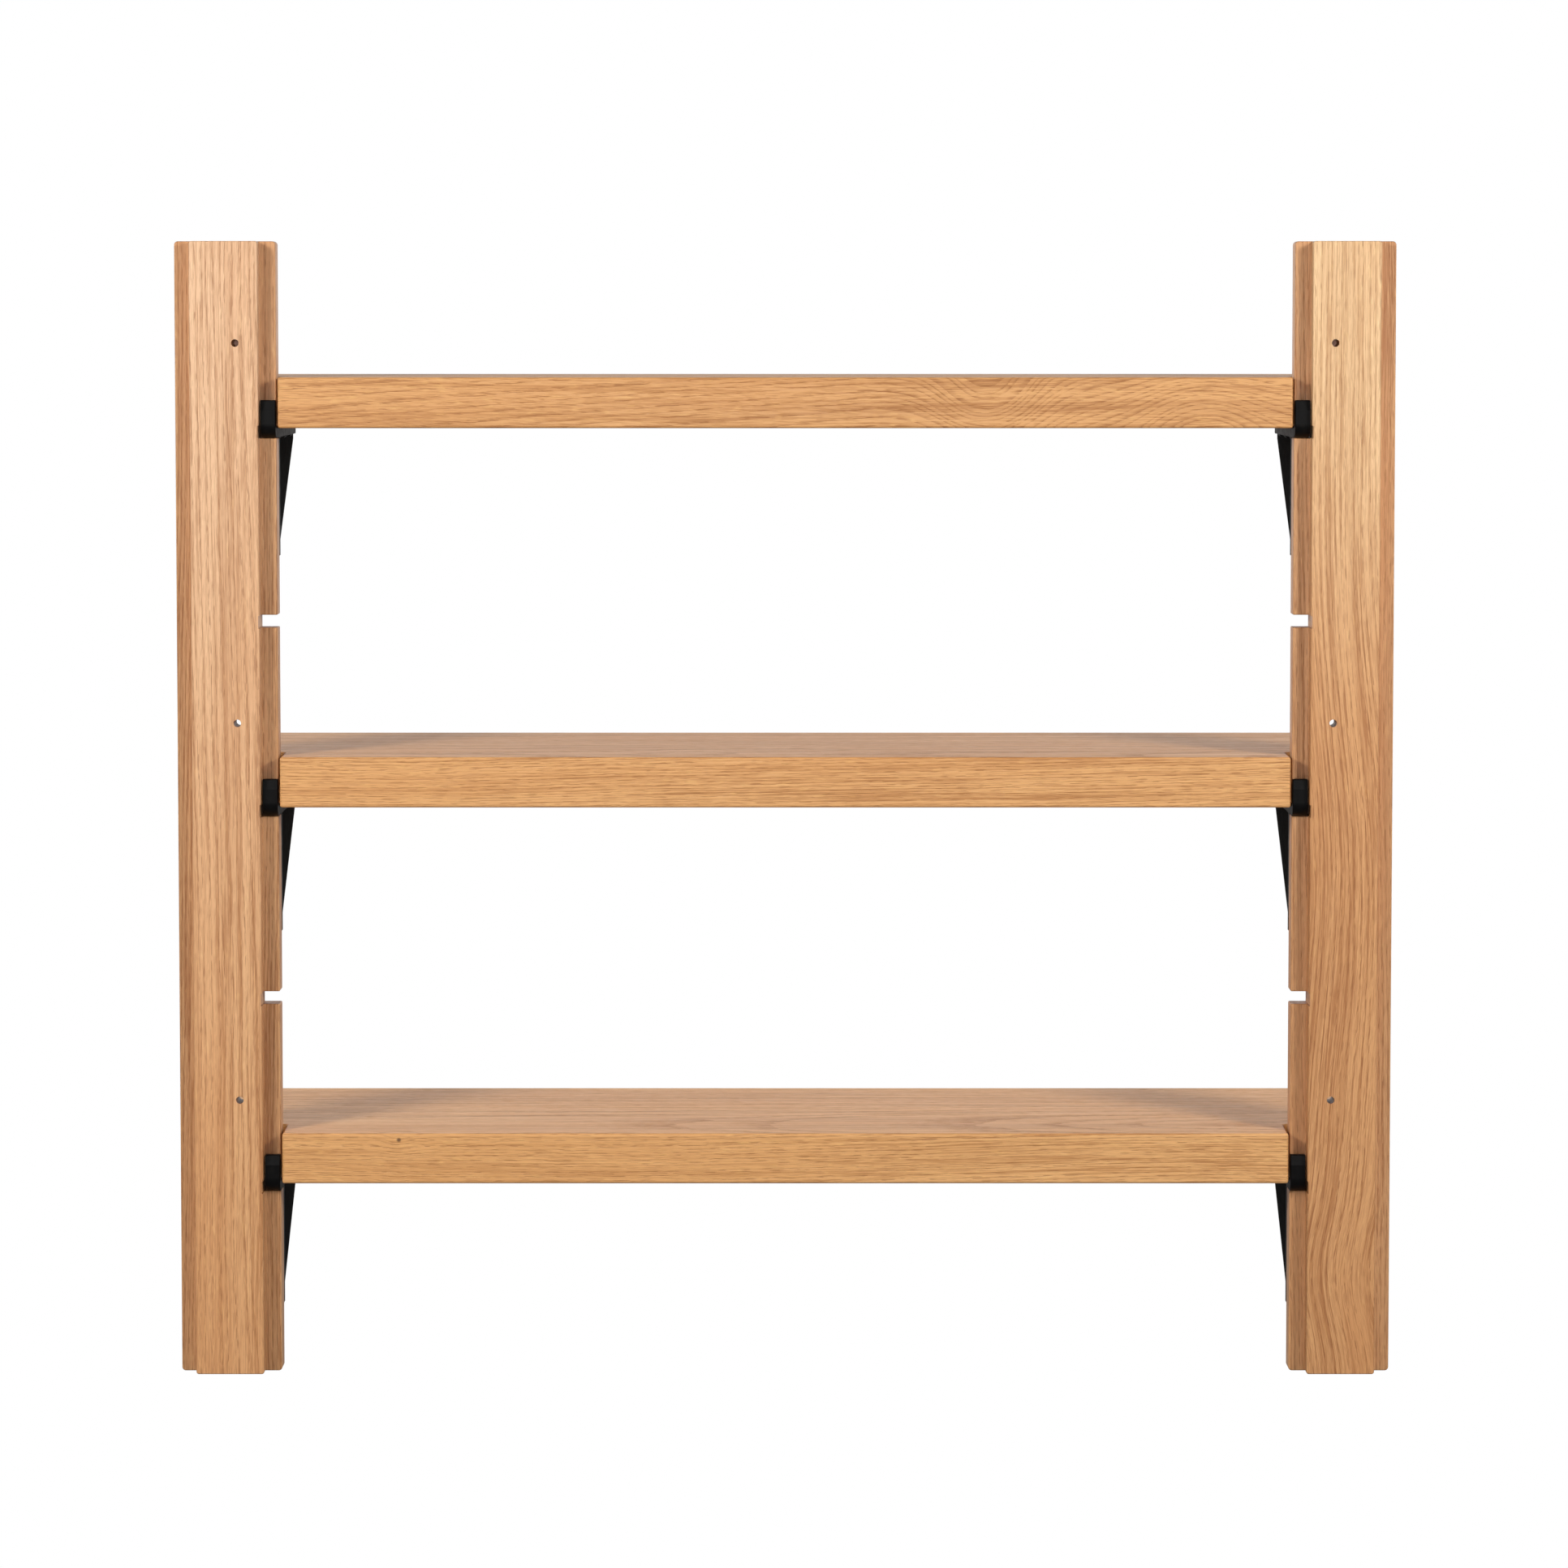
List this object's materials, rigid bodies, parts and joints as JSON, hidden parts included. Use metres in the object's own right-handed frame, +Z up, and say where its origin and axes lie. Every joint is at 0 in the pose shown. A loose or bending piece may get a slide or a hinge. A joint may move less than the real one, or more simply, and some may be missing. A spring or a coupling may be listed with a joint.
{
  "type": "wall shelf",
  "caption": "Oak wall shelf: slotted wall posts, hooked black steel brackets and thick lift-off shelves notched round the posts.",
  "frame": {"origin": "on the wall plane, midway between the posts at the height of the middle screw row", "axes": "+X along the shelves, left to right as seen from the wall; +Y from the wall into the room; +Z up"},
  "size_m": [0.964, 0.251, 0.9],
  "materials": {
    "post_oak": "clear matt lacquer",
    "shelf_oak": "clear matt lacquer",
    "plug_oak": "clear matt lacquer",
    "black_bar_steel": "satin black",
    "black_web_steel": "satin black"
  },
  "bodies": {
    "wall_frame": {"left_face_board": "post_oak", "left_spacer_rib": "post_oak", "left_screw_plug": "plug_oak", "right_face_board": "post_oak", "right_spacer_rib": "post_oak", "right_screw_plug": "plug_oak", "top_left_hooked_arm": "black_bar_steel", "top_left_leg_bar": "black_bar_steel", "top_left_web_plate": "black_web_steel", "top_right_hooked_arm": "black_bar_steel", "top_right_leg_bar": "black_bar_steel", "top_right_web_plate": "black_web_steel", "middle_left_hooked_arm": "black_bar_steel", "middle_left_leg_bar": "black_bar_steel", "middle_left_web_plate": "black_web_steel", "middle_right_hooked_arm": "black_bar_steel", "middle_right_leg_bar": "black_bar_steel", "middle_right_web_plate": "black_web_steel", "bottom_left_hooked_arm": "black_bar_steel", "bottom_left_leg_bar": "black_bar_steel", "bottom_left_web_plate": "black_web_steel", "bottom_right_hooked_arm": "black_bar_steel", "bottom_right_leg_bar": "black_bar_steel", "bottom_right_web_plate": "black_web_steel"},
    "top_shelf_board": {"top_shelf": "shelf_oak"},
    "middle_shelf_board": {"middle_shelf": "shelf_oak"},
    "bottom_shelf_board": {"bottom_shelf": "shelf_oak"}
  },
  "joints": [
    {"name": "top_shelf_lift", "type": "slide", "parent": "wall_frame", "child": "top_shelf_board", "axis": [0, 0, 1], "range_m": [0, 0.16]},
    {"name": "middle_shelf_lift", "type": "slide", "parent": "wall_frame", "child": "middle_shelf_board", "axis": [0, 0, 1], "range_m": [0, 0.16]},
    {"name": "bottom_shelf_lift", "type": "slide", "parent": "wall_frame", "child": "bottom_shelf_board", "axis": [0, 0, 1], "range_m": [0, 0.16]}
  ]
}
